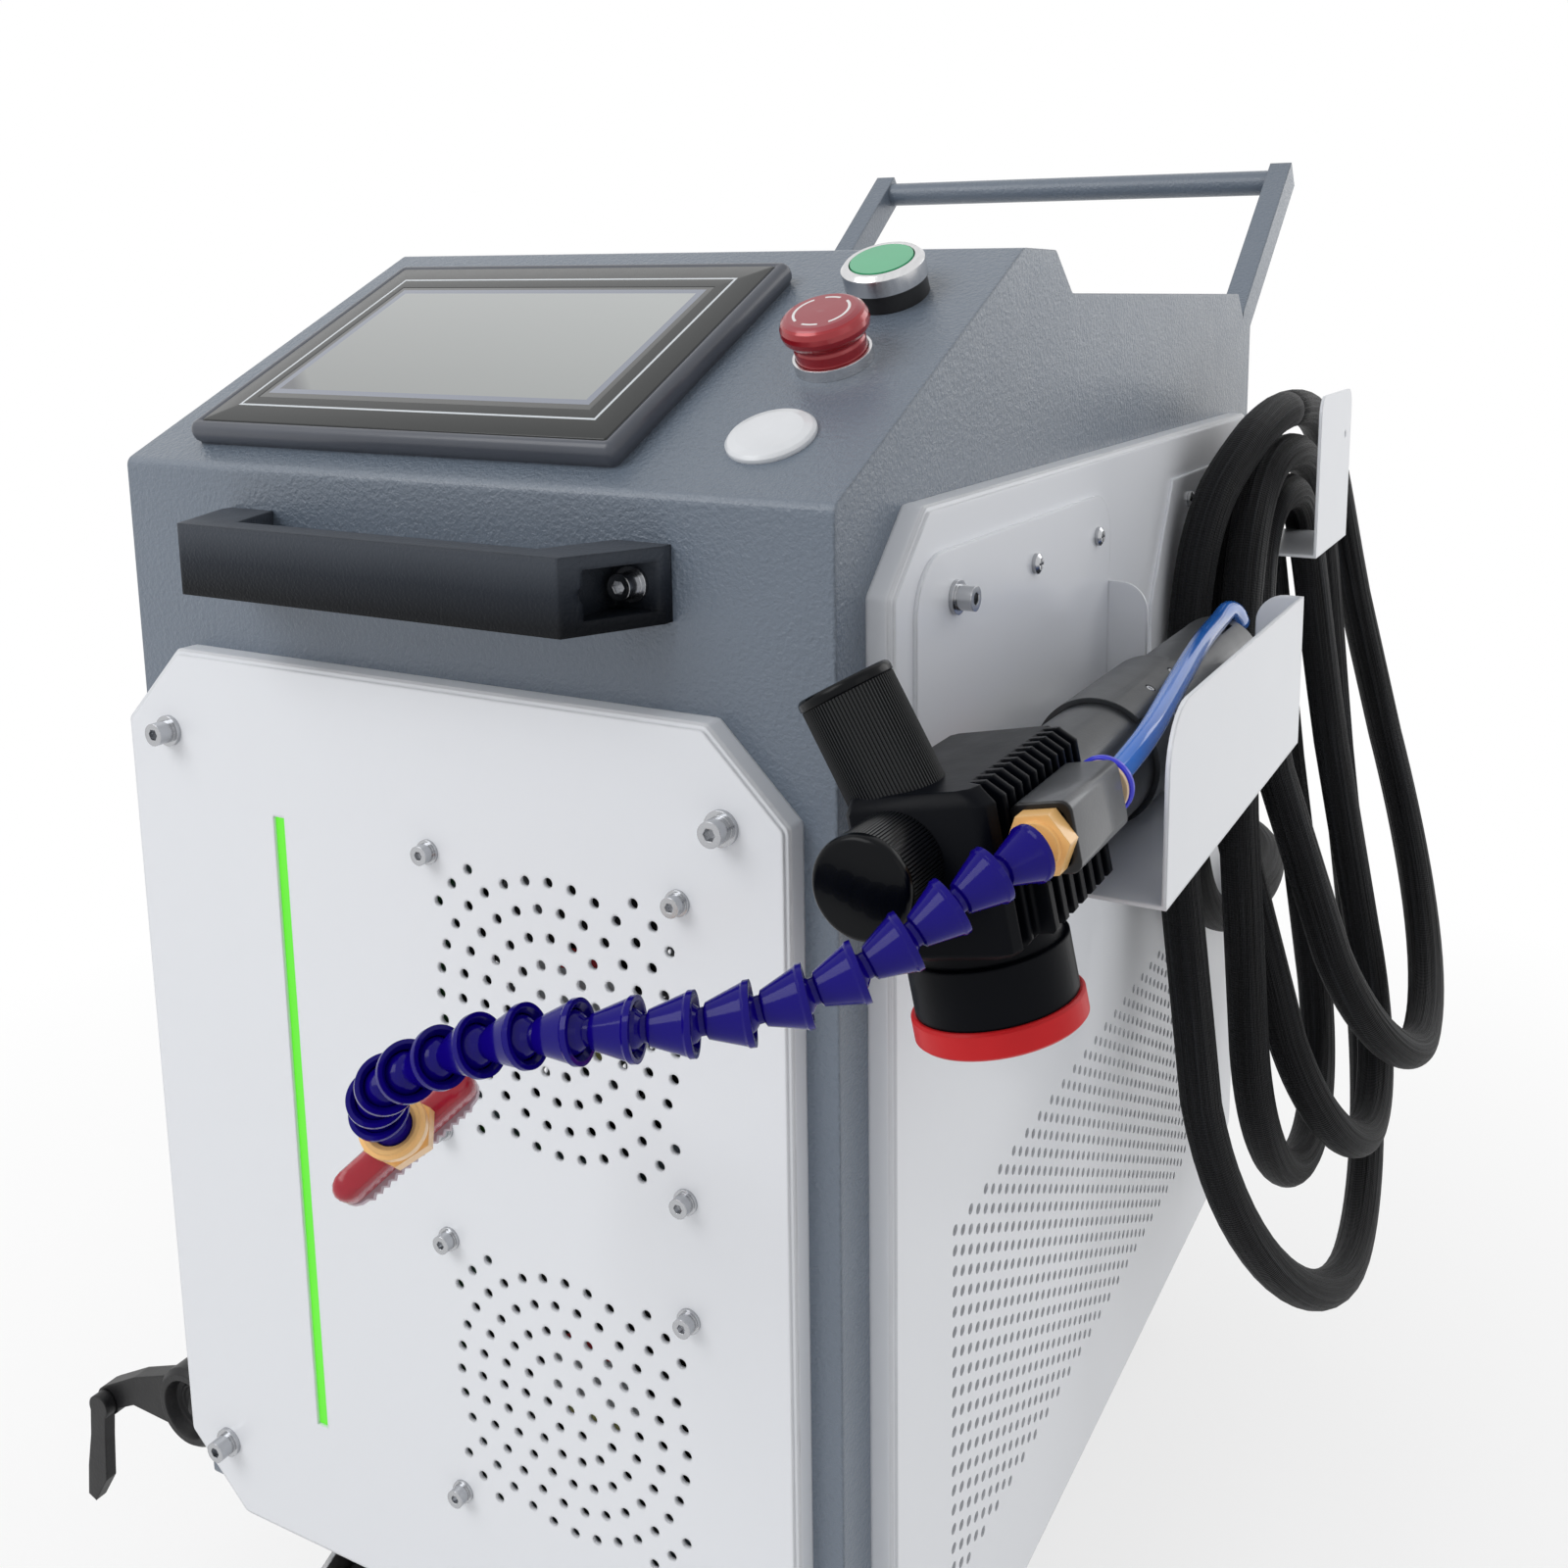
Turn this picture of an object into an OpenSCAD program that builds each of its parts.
// Wheeled laser cleaning machine with a hand-held scanning head in a side cradle.
// X runs right, Y runs back and Z runs up. The origin is on the floor under the middle of the cabinet.

/* [Cabinet] */
// Width of the grey cabinet
cab_w = 310; // [304:2:340]
// Depth of the grey cabinet
cab_d = 515; // [505:5:560]
// Height of the sloping console's front edge above the cabinet floor
front_h = 486; // [480:2:500]
// Height of the console ridge above the cabinet floor
ridge_h = 566; // [560:2:580]
// Height of the flat deck above the cabinet floor
deck_h = 549; // [545:1:555]
// Distance from the front to the start of the ridge
ridge_y = 152; // [148:1:158]
// Length of the flat ridge
ridge_run = 34; // [28:1:40]
// Length of the step from the ridge down to the deck
step_run = 20; // [14:1:26]
// Bevel along the rear top edge
rear_bevel = 25; // [18:1:30]
// Undercut along the front bottom edge
toe_kick = 46; // [40:1:50]
// Sheet thickness of the cabinet and its panels
sheet = 1.5; // [1.2:0.1:2]
// Radius of the folded cabinet edges
fold_r = 4; // [3:0.5:6]

/* [Front panel] */
// Width of the white front panel
panel_w = 298; // [290:1:300]
// Height of the white front panel
panel_h = 372; // [368:1:378]
// Height of the panel's lower edge above the cabinet floor
panel_lift = 44; // [40:1:48]
// How far the folded panels stand off the cabinet
panel_proud = 9.5; // [8:0.5:12]
// Corner chamfer of the folded panels
panel_chamfer = 30; // [24:1:34]
// Rounding at the folded edges of the panels
panel_edge = 2; // [1.5:0.5:3]
// Distance of the panel bolts from the panel's sides
bolt_inset = 24; // [20:1:28]
// Distance of the panel bolts from its top and bottom
bolt_drop = 32.5; // [28:0.5:36]

/* [Fans] */
// Fan frame size
fan_size = 120; // [119:1:121]
// Fan screw spacing
fan_pitch = 105; // [104:0.5:105.5]
// Fan frame depth
fan_depth = 25; // [25:1:38]
// Fan centre to the right of the cabinet centre
fan_x = 49; // [46:1:52]
// Upper fan centre above the panel's lower edge
fan_lift = 259; // [255:1:262]
// Distance between the fan centres
fan_gap = 149; // [146:1:152]
// Diameter of the vent holes in the front panel
vent_d = 3.8; // [3:0.1:4.2]
// Ring spacing of the vent holes
vent_ring = 10; // [9.5:0.1:10.4]
// Hub diameter of the rotors
hub_d = 42; // [38:1:46]
// Number of blades on a rotor
blade_count = 7; // [5:1:9]

/* [Light strip] */
// Width of the lit slot
slot_w = 5.5; // [5:0.5:7]
// Height of the lit slot
slot_h = 254; // [240:1:260]
// Slot centre to the left of the cabinet centre
slot_x = 76; // [74:1:78]
// Slot centre above the panel's lower edge
slot_lift = 186; // [180:1:190]

/* [Front handle] */
// Overall length of the front handle at its feet
grip_l = 196; // [190:1:200]
// Stand-off of the front handle
grip_out = 36; // [32:1:40]
// Height of the front handle's section
grip_t = 25; // [22:1:28]
// Height of the front handle above the cabinet floor
grip_lift = 458; // [455:1:460]
// Handle centre to the left of the cabinet centre
grip_shift = 2; // [0:1:4]

/* [Console] */
// Width of the touch screen bezel
hmi_w = 200; // [196:1:204]
// Height of the touch screen bezel
hmi_h = 133; // [130:1:136]
// Thickness of the touch screen bezel above the console
hmi_t = 9; // [7:0.5:10]
// Width of the visible screen
screen_w = 154; // [150:1:158]
// Height of the visible screen
screen_h = 86; // [84:1:90]
// Bezel centre to the left of the cabinet centre
hmi_shift = 29; // [28:0.5:31]
// Bezel centre up the slope from the front edge
hmi_up = 79; // [77:1:82]
// Mounting hole of the push buttons
button_hole = 22.5; // [22.3:0.1:23]
// Button row to the right of the cabinet centre
button_x = 115; // [113:1:118]
// Lowest button up the slope from the front edge
button_up = 35; // [32:1:37]
// Distance between the buttons
button_pitch = 49; // [47:1:51]
// Travel of the emergency stop
stop_travel = 3; // [2:0.5:4]
// Travel of the start button
start_travel = 3; // [2:0.5:3.5]

/* [Side panels] */
// Gap from the cabinet front to the side panels
side_front = 19.5; // [17:0.5:22]
// Gap from the cabinet back to the side panels
side_back = 11; // [8:0.5:14]
// Height of the side panels
side_h = 481; // [470:1:484]
// Inset of the side panel bolts from its front
side_bolt_in = 44.5; // [40:0.5:48]
// Drop of the side panel bolts from its top
side_bolt_drop = 33; // [30:0.5:36]

/* [Push handle] */
// Width of the push handle over its legs
push_w = 305; // [290:1:306]
// Section of the handle legs across the machine
push_leg_x = 14; // [12:1:18]
// Section of the handle legs along the machine
push_leg_t = 18; // [16:1:20]
// Diameter of the handle's crossbar
push_bar_d = 16; // [12:1:16]
// Lean of the handle above the horizontal
push_angle = 39; // [35:1:45]
// Length of the leaning part of the legs
push_l = 148; // [140:1:160]
// Length of the upright part of the legs
push_root = 94; // [80:1:100]

/* [Gun holder] */
// Length of the cradle along the machine
cradle_l = 195; // [188:1:200]
// Width of the cradle
cradle_w = 84; // [80:1:88]
// Height of the cradle's outer wall
cradle_h = 62.5; // [58:0.5:66]
// Height of the cradle's back plate
cradle_back_h = 102; // [98:1:106]
// Cradle shelf above the cabinet floor
cradle_lift = 363; // [358:1:368]
// Distance from the cabinet front to the rear of the cradle
cradle_rear = 229; // [226:1:232]
// Width of the notch for the gun tube
notch_w = 47; // [46.6:0.1:48]

/* [Hose hanger] */
// Hanger plate length along the machine
hanger_l = 172; // [165:1:180]
// Hanger plate height
hanger_h = 86; // [80:1:90]
// Distance from the cabinet back to the hanger plate's top front corner
hanger_back = 189; // [185:1:195]
// Top of the hanger plate above the cabinet floor
hanger_top = 459; // [455:1:464]
// Reach of the hanger tongue
hanger_out = 62; // [60:1:66]
// Length of the hanger tongue along the machine
tongue_l = 85; // [80:1:90]
// Height of the hanger's outer flange
flange_h = 82; // [78:1:86]

/* [Gun] */
// Diameter of the gun tube
tube_d = 42; // [40:0.5:42.5]
// Diameter of the split collar
collar_d = 46; // [45:0.5:46.4]
// Tilt of the scanning head about the tube
gun_roll = 12; // [8:1:15]
// Length of the scanning head along the tube
head_l = 72; // [68:1:76]
// Width of the scanning head
head_w = 44; // [42:1:46]
// Height of the scanning head
head_h = 46; // [44:1:48]
// Diameter of the scanner motors
motor_d = 29; // [25:0.5:30]
// Visible length of the upper scanner motor
motor_l = 33; // [24:1:36]
// Diameter of the lens barrel
lens_d = 49; // [46:0.5:50]
// Diameter of the red lens ring
lens_ring_d = 52; // [51:0.5:54]
// Height of the lens barrel
lens_h = 25; // [20:1:28]

/* [Segmented hose] */
// Outer diameter of a hose segment
seg_d = 16; // [15.5:0.1:16.5]
// Distance between hose segments
seg_pitch = 13.8; // [13.6:0.1:14.2]
// Width of the flat nozzle
nozzle_w = 48; // [44:1:56]

/* [Hose] */
// Diameter of the black supply hose
hose_d = 20; // [19:0.5:20]

/* [Castors] */
// Overall castor height
castor_h = 100; // [96:1:104]
// Castor wheel diameter
wheel_d = 75; // [70:1:75]
// Castor wheel width
wheel_w = 24; // [20:1:24]
// Castor distance from the cabinet centre across the machine
castor_x = 115; // [108:1:118]
// Castor distance from the cabinet centre along the machine
castor_y = 186; // [176:1:188]
// Trail of the swivel castors
castor_trail = 26; // [22:1:28]

/* [Hidden] */
$fn = 48;

// How close pieces on different bodies come when they only rest on each other
rest_gap = 0.3;
// Clearance round fasteners and pieces that drop into holes
fit_gap = 0.25;

cab_base = castor_h;
front_y = -cab_d / 2;
rear_y = cab_d / 2;
side_x = cab_w / 2;
front_z = cab_base + front_h;
ridge_z = cab_base + ridge_h;
deck_z = cab_base + deck_h;
slope_angle = atan2(ridge_z - front_z, ridge_y);

// Moves a point a given distance from one point towards another
function toward(from, to, dist) = from + (to - from) * dist / norm(to - from);
// Rounds every corner of a closed outline with arcs of radius r
function corner_arc(a, b, c, r, steps) =
    let (
        u = (a - b) / norm(a - b),
        v = (c - b) / norm(c - b),
        half = acos(u * v) / 2,
        reach = r / tan(half),
        mid = (u + v) / norm(u + v),
        centre = b + mid * r / sin(half),
        p = b + u * reach - centre,
        q = b + v * reach - centre,
        sweep = 180 - 2 * half,
        turn = p[0] * q[1] - p[1] * q[0] > 0 ? 1 : -1
    )
    [for (i = [0:steps]) let (w = turn * sweep * i / steps)
        centre + [p[0] * cos(w) - p[1] * sin(w), p[0] * sin(w) + p[1] * cos(w)]];
function rounded(points, r, steps = 4) =
    [for (i = [0:len(points) - 1]) each corner_arc(
        points[(i + len(points) - 1) % len(points)], points[i], points[(i + 1) % len(points)], r, steps)];
// Shifts each edge of an anticlockwise outline inwards
function inset(points, d) =
    [for (i = [0:len(points) - 1])
        let (
            a = points[(i + len(points) - 1) % len(points)],
            b = points[i],
            c = points[(i + 1) % len(points)],
            u = (b - a) / norm(b - a),
            v = (c - b) / norm(c - b),
            n = [-u[1], u[0]],
            m = [-v[1], v[0]]
        )
        b + (n + m) * d / (1 + n * m)];
function chamfered(w, h, c) =
    [[c, 0], [w - c, 0], [w, c], [w, h - c], [w - c, h], [c, h], [0, h - c], [0, c]];

// Side outline of the cabinet, as distance from the front and height above its floor
cab_outline = [
    [toe_kick, 0], [cab_d, 0], [cab_d, deck_h - rear_bevel], [cab_d - rear_bevel, deck_h],
    [ridge_y + ridge_run + step_run, deck_h], [ridge_y + ridge_run, ridge_h], [ridge_y, ridge_h],
    [0, front_h], [0, toe_kick]
];

// Extrudes an outline drawn in depth and height across the machine
module across(x0, x1) {
    translate([x0, front_y, cab_base]) rotate([90, 0, 90]) linear_extrude(x1 - x0) children();
}
// Stands an outline drawn in width and height up, with its front face at y and its depth behind it
module upright(y, depth) {
    translate([0, y + depth, 0]) rotate([90, 0, 0]) linear_extrude(depth) children();
}
// Places its children on the console slope, with Z along the slope's normal
module on_slope(x, up, lift = 0) {
    translate([0, front_y, front_z]) rotate([slope_angle, 0, 0]) translate([x, up, lift]) children();
}
// A round bar along Y, from y0 to y1
module bar_y(d, x, y0, y1, z) {
    translate([x, y0, z]) rotate([-90, 0, 0]) cylinder(d = d, h = y1 - y0);
}
// A round bar along X, from x0 to x1
module bar_x(d, x0, x1, y, z) {
    translate([x0, y, z]) rotate([0, 90, 0]) cylinder(d = d, h = x1 - x0);
}

// Bolt sizes: shank, head, head height, washer, washer thickness
bolt_d = 6;
bolt_head = 8.7;
bolt_head_h = 6;
washer_d = 12;
washer_t = 1.6;
hex_key = 4;
fan_bolt_d = 4;
fan_bolt_head = 7;
fan_bolt_head_h = 4;
fan_washer_d = 9;
fan_washer_t = 1;
fan_hex = 3;
pan_d = 4;
pan_head = 8;
pan_head_h = 2.6;
pan_l = 10;

// A socket head bolt with its washer, pointing along -Z, seated at the origin
module socket_bolt(d, head, head_h, washer, wt, key, shank) {
    translate([0, 0, -shank]) cylinder(d = d, h = shank + wt);
    difference() {
        cylinder(d = washer, h = wt);
        translate([0, 0, -1]) cylinder(d = d, h = wt + 2);
    }
    difference() {
        translate([0, 0, wt]) cylinder(d = head, h = head_h);
        translate([0, 0, wt + head_h / 2]) cylinder(d = key / cos(30), h = head_h, $fn = 6);
    }
}
module m6_bolt(shank) {
    socket_bolt(bolt_d, bolt_head, bolt_head_h, washer_d, washer_t, hex_key, shank);
}

panel_z = cab_base + panel_lift;
panel_y = front_y - panel_proud;
panel_x0 = -side_x;
panel_bolts = [for (x = [bolt_inset, panel_w - bolt_inset], z = [bolt_drop, panel_h - bolt_drop])
    [panel_x0 + x, panel_z + z]];
fan_centres = [panel_z + fan_lift, panel_z + fan_lift - fan_gap];
vent_counts = [6, 14, 20, 26, 32];
corner_vent_r = 60;
corner_vent_step = 9.5;
slot_z = panel_z + slot_lift;

grip_y = front_y - grip_out;
grip_z = cab_base + grip_lift;
grip_taper = 16;
grip_foot = 21.5;
grip_bar = 11;
grip_pad = 6;
grip_bolt_x = grip_l / 2 - grip_foot / 2;
pocket_h = 16;
pocket_w = 32;
pocket_wall = 7;

side_panel_y0 = front_y + side_front;
side_panel_y1 = rear_y - side_back;
side_panel_l = side_panel_y1 - side_panel_y0;
side_face = side_x + panel_proud;
side_bolts = [for (y = [side_panel_y0 + side_bolt_in, side_panel_y1 - side_bolt_in],
    z = [cab_base + side_bolt_drop, cab_base + side_h - side_bolt_drop]) [y, z]];
// The two side panel bolts that also hold the cradle and the hose hanger
cradle_bolt = side_bolts[1];
hanger_bolt = side_bolts[3];

cradle_y1 = front_y + cradle_rear;
cradle_y0 = cradle_y1 - cradle_l;
cradle_z = cab_base + cradle_lift;
plate_t = 1.5;
cradle_x = side_face + plate_t;
cradle_out = side_face + plate_t + cradle_w;
gun_x = (side_face + cradle_out) / 2;
cradle_screws = [[cradle_y0 + cradle_l / 2 + 7, cradle_z + 84.5], [cradle_y1 - 17.5, cradle_z + 84.5]];

hanger_y0 = rear_y - hanger_back;
hanger_z1 = cab_base + hanger_top;
hanger_slant = 31;
hanger_mid = hanger_y0 + hanger_l / 2 + 9;
flange_x = side_face + hanger_out;
tongue_z = hanger_z1 - hanger_h + 43;
hanger_screws = [[hanger_y0 + 29, hanger_z1 - 13], [hanger_y0 + hanger_l - 24, hanger_z1 - 13],
    [hanger_y0 + hanger_l - 24, hanger_z1 - 62], [hanger_y0 + 29, hanger_z1 - 62]];

// Openings cut through the cabinet's skin
service_l = 400;
service_h = 360;
service_lift = 60;
rear_cut_w = 250;
rear_cut_h = 400;
rear_panel_w = 270;
rear_panel_h = 430;
rear_panel_lift = 70;
rear_panel_t = 2;
fan_hole_d = 112;
hmi_box_w = 186;
hmi_box_h = 118;
hmi_box_d = 30;
strip_w = 14;
strip_base = 5;

module cabinet_shell() {
    color([0.33, 0.37, 0.42])
    difference() {
        across(-side_x, side_x) polygon(rounded(cab_outline, fold_r));
        across(-side_x + sheet, side_x - sheet) polygon(rounded(inset(cab_outline, sheet), fold_r - sheet));
        for (z = fan_centres) bar_y(fan_hole_d, fan_x, front_y - 1, front_y + sheet + 1, z);
        for (z = fan_centres, sx = [-1, 1], sz = [-1, 1])
            bar_y(fan_bolt_d + 2 * fit_gap, fan_x + sx * fan_pitch / 2, front_y - 1, front_y + sheet + 1,
                z + sz * fan_pitch / 2);
        for (p = panel_bolts) bar_y(bolt_d + 2 * fit_gap, p[0], front_y - 1, front_y + sheet + 1, p[1]);
        for (s = [-1, 1])
            bar_y(bolt_d + 2 * fit_gap, s * grip_bolt_x - grip_shift, front_y - 1, front_y + sheet + 1,
                grip_z);
        for (s = [-1, 1]) {
            translate([s * side_x, 0, cab_base + service_lift + service_h / 2])
                cube([4 * sheet, service_l, service_h], center = true);
            for (p = side_bolts)
                bar_x(bolt_d + 2 * fit_gap, s * side_x - 2 * sheet, s * side_x + 2 * sheet, p[0], p[1]);
        }
        translate([-rear_cut_w / 2, rear_y - 2 * sheet, cab_base + rear_panel_lift + 15])
            cube([rear_cut_w, 4 * sheet, rear_cut_h]);
        on_slope(-hmi_shift, hmi_up) cube([hmi_box_w + 1, hmi_box_h + 1, 6 * sheet], center = true);
        for (i = [0:2])
            on_slope(button_x, button_up + i * button_pitch)
                cylinder(d = button_hole, h = 6 * sheet, center = true);
        for (s = [-1, 1], z = push_bolts)
            bar_y(bolt_d + 2 * fit_gap, s * push_x, rear_y - 2 * sheet, rear_y + 1, z);
    }
}

// A folded tray with chamfered corners, drawn flat with its face up at z = depth
module tray(w, h, chamfer, depth) {
    outline = chamfered(w, h, chamfer);
    difference() {
        union() {
            linear_extrude(depth - panel_edge) polygon(rounded(outline, 3));
            translate([0, 0, depth - panel_edge]) linear_extrude(panel_edge / 2)
                polygon(rounded(inset(outline, panel_edge * 0.3), 3));
            translate([0, 0, depth - panel_edge / 2]) linear_extrude(panel_edge / 2)
                polygon(rounded(inset(outline, panel_edge), 3));
        }
        translate([0, 0, -1]) linear_extrude(depth - sheet + 1)
            polygon(rounded(inset(outline, 2 * sheet), 3));
    }
}

// Rings of vent holes and three more in each corner, over one fan
module vent_field() {
    circle(d = vent_d, $fn = 16);
    for (k = [0:len(vent_counts) - 1], i = [0:vent_counts[k] - 1])
        rotate(360 * i / vent_counts[k]) translate([(k + 1) * vent_ring, 0]) circle(d = vent_d, $fn = 16);
    for (q = [0:3], j = [-1:1])
        rotate(45 + 90 * q + j * corner_vent_step) translate([corner_vent_r, 0]) circle(d = vent_d, $fn = 16);
}

module front_panel() {
    color([0.92, 0.93, 0.95])
    difference() {
        translate([panel_x0, front_y, panel_z]) rotate([90, 0, 0])
            tray(panel_w, panel_h, panel_chamfer, panel_proud);
        upright(panel_y - 1, sheet + 2) {
            for (z = fan_centres) translate([fan_x, z]) vent_field();
            for (z = fan_centres, sx = [-1, 1], sz = [-1, 1])
                translate([fan_x + sx * fan_pitch / 2, z + sz * fan_pitch / 2])
                    circle(d = fan_bolt_d + 2 * fit_gap);
            for (p = panel_bolts) translate(p) circle(d = bolt_d + 2 * fit_gap);
            translate([-slot_x, slot_z]) square([slot_w, slot_h], center = true);
        }
    }
}

module socket_bolts() {
    color([0.78, 0.78, 0.76]) {
        for (p = panel_bolts) translate([p[0], panel_y, p[1]]) rotate([90, 0, 0]) m6_bolt(20);
        for (s = [-1, 1])
            translate([s * grip_bolt_x - grip_shift, front_y - grip_pad, grip_z])
                rotate([90, 0, 0]) m6_bolt(16);
        for (s = [-1, 1], p = side_bolts) {
            seat = s > 0 && (p == cradle_bolt || p == hanger_bolt) ? plate_t : 0;
            translate([s * (side_face + seat), p[0], p[1]]) rotate([0, s * 90, 0]) m6_bolt(18);
        }
        for (s = [-1, 1], z = push_bolts)
            translate([s * push_x, rear_y + push_leg_t, z]) rotate([-90, 0, 0]) m6_bolt(26);
    }
}

module fan_bolts() {
    color([0.78, 0.78, 0.76])
    for (z = fan_centres, sx = [-1, 1], sz = [-1, 1])
        translate([fan_x + sx * fan_pitch / 2, panel_y, z + sz * fan_pitch / 2]) rotate([90, 0, 0])
            socket_bolt(fan_bolt_d, fan_bolt_head, fan_bolt_head_h, fan_washer_d, fan_washer_t, fan_hex, 30);
}

module light_strip() {
    color([0.35, 0.85, 0.12]) {
        translate([-slot_x - strip_w / 2, front_y - strip_base, slot_z - slot_h / 2 - 4])
            cube([strip_w, strip_base, slot_h + 8]);
        translate([-slot_x - slot_w / 2 + fit_gap, panel_y + 1, slot_z - slot_h / 2 + fit_gap])
            cube([slot_w - 2 * fit_gap, panel_proud - strip_base, slot_h - 2 * fit_gap]);
    }
}

rotor_gap = 1;
fan_wall = 1.5;
fan_y = front_y + sheet;
fan_bore = fan_size - 2 * fan_wall;
boss_t = 4;
spoke_w = 6;

module fan_frames() {
    color([0.1, 0.1, 0.11])
    for (z = fan_centres) {
        difference() {
            upright(fan_y, fan_depth) translate([fan_x, z]) square(fan_size, center = true);
            bar_y(fan_bore, fan_x, fan_y - 1, fan_y + fan_depth + 1, z);
            for (sx = [-1, 1], sz = [-1, 1])
                bar_y(fan_bolt_d + 2 * fit_gap, fan_x + sx * fan_pitch / 2, fan_y - 1, fan_y + fan_depth + 1,
                    z + sz * fan_pitch / 2);
        }
        bar_y(hub_d - 4, fan_x, fan_y + fan_depth - boss_t, fan_y + fan_depth, z);
        for (a = [0:90:270])
            translate([fan_x, 0, z]) rotate([0, a + 20, 0])
                translate([hub_d / 2 - 4, fan_y + fan_depth - 3, -spoke_w / 2])
                    cube([fan_bore / 2 - hub_d / 2 + 4.3, 3, spoke_w]);
        bar_y(4, fan_x, fan_y + 8, fan_y + fan_depth - boss_t, z);
    }
}

module rotor(z) {
    color([0.06, 0.06, 0.07])
    translate([fan_x, fan_y + 2, z]) rotate([-90, 0, 0]) {
        difference() {
            cylinder(d = hub_d, h = fan_depth - boss_t - 3);
            translate([0, 0, 4]) cylinder(d = 4.2, h = fan_depth);
        }
        for (i = [0:blade_count - 1])
            rotate(360 * i / blade_count) translate([hub_d / 2 - 1.5, 0, (fan_depth - boss_t - 3) / 2])
                rotate([38, 0, 0])
                    translate([0, -11, -0.9]) cube([fan_bore / 2 - hub_d / 2 - rotor_gap, 22, 1.8]);
    }
}
module upper_fan_rotor() rotor(fan_centres[0]);
module lower_fan_rotor() rotor(fan_centres[1]);

module front_handle() {
    half = grip_l / 2;
    inner = half - grip_foot;
    color([0.07, 0.07, 0.08])
    difference() {
        translate([-grip_shift, front_y, grip_z - grip_t / 2]) linear_extrude(grip_t)
            polygon([
                [-half, 0], [-inner, 0], [-inner + grip_taper * 0.7, -grip_out + grip_bar],
                [inner - grip_taper * 0.7, -grip_out + grip_bar], [inner, 0], [half, 0],
                [half, -4], [half - grip_taper, -grip_out], [-half + grip_taper, -grip_out], [-half, -4]
            ]);
        for (s = [-1, 1]) {
            translate([s * (grip_bolt_x + 9) - grip_shift - pocket_w / 2, front_y - grip_out + pocket_wall,
                grip_z - pocket_h / 2])
                cube([pocket_w, grip_out - pocket_wall - grip_pad, pocket_h]);
            bar_y(bolt_d + 2 * fit_gap, s * grip_bolt_x - grip_shift, front_y - grip_out, front_y + 1,
                grip_z);
        }
    }
}

lip = 2;
glass_t = 1.5;
glass_margin = 2;
screen_shift = 4;

module hmi_bezel() {
    color([0.11, 0.12, 0.13])
    on_slope(-hmi_shift, hmi_up)
    difference() {
        union() {
            translate([-hmi_w / 2, -hmi_h / 2, 0]) cube([hmi_w, hmi_h, hmi_t - lip]);
            translate([-hmi_w / 2 + lip, -hmi_h / 2 + lip, 0])
                cube([hmi_w - 2 * lip, hmi_h - 2 * lip, hmi_t]);
            translate([-hmi_box_w / 2, -hmi_box_h / 2, -hmi_box_d])
                cube([hmi_box_w, hmi_box_h, hmi_box_d + 1]);
        }
        translate([-screen_w / 2 - glass_margin - screen_shift, -screen_h / 2 - glass_margin, hmi_t - glass_t])
            cube([screen_w + 2 * glass_margin, screen_h + 2 * glass_margin, 2 * glass_t]);
    }
}
module hmi_screen() {
    rim = glass_margin - fit_gap;
    color([0.45, 0.48, 0.46])
    on_slope(-hmi_shift - screen_shift, hmi_up, hmi_t - glass_t)
        translate([-screen_w / 2 - rim, -screen_h / 2 - rim, 0])
            cube([screen_w + 2 * rim, screen_h + 2 * rim, glass_t - 0.4]);
}

thread_d = 22;
collar_od = 28.6;
collar_floor = 0.6;
skirt_d = 25.8;
skirt_gap = 0.3;
stem_d = 10;
nut_od = 28;
nut_h = 5;
block_s = 26;
block_h = 28;
head_d = 31.8;

// The part of a push button below the console: thread, ring nut and contact block
module button_root() {
    difference() {
        union() {
            translate([0, 0, -12]) cylinder(d = thread_d, h = 12);
            translate([0, 0, -sheet - nut_h - 0.1]) cylinder(d = nut_od, h = nut_h);
            translate([-block_s / 2, -block_s / 2, -12 - block_h]) cube([block_s, block_s, block_h]);
        }
        translate([0, 0, -14]) cylinder(d = stem_d + 1, h = 16);
    }
}
module estop_collar() {
    color([0.75, 0.75, 0.76])
    on_slope(button_x, button_up + button_pitch) {
        difference() {
            cylinder(d = collar_od, h = collar_h);
            translate([0, 0, collar_floor]) cylinder(d = skirt_d + 2 * skirt_gap, h = collar_h);
            translate([0, 0, -1]) cylinder(d = stem_d + 1, h = collar_h);
        }
        button_root();
    }
}
stop_skirt = collar_floor + stop_travel + rest_gap;
collar_h = stop_skirt + 0.5;
stem_drop = 14;
stem_reach = 6;
module estop_stem() {
    color([0.2, 0.2, 0.2])
    on_slope(button_x, button_up + button_pitch)
        translate([0, 0, stop_skirt + stem_reach - stem_drop]) cylinder(d = stem_d, h = stem_drop);
}
module estop_head() {
    color([0.75, 0.05, 0.09])
    on_slope(button_x, button_up + button_pitch)
    difference() {
        translate([0, 0, stop_skirt]) rotate_extrude($fn = 64) polygon([
            [0, 0], [skirt_d / 2, 0], [skirt_d / 2, 4.4], [skirt_d / 2 - 0.5, 5.4], [skirt_d / 2 - 0.5, 6.1],
            [head_d / 2 - 1.6, 7.6], [head_d / 2 - 0.4, 9.2], [head_d / 2, 11], [head_d / 2 - 0.2, 12.8],
            [head_d / 2 - 1, 14.6], [head_d / 2 - 2.4, 15.8], [head_d / 2 - 3.6, 16.3], [0, 16.5]
        ]);
        translate([0, 0, -1]) cylinder(d = stem_d + 0.1, h = stop_skirt + stem_reach + 1);
    }
}
rim_h = 15;
cap_d = 24;
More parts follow.
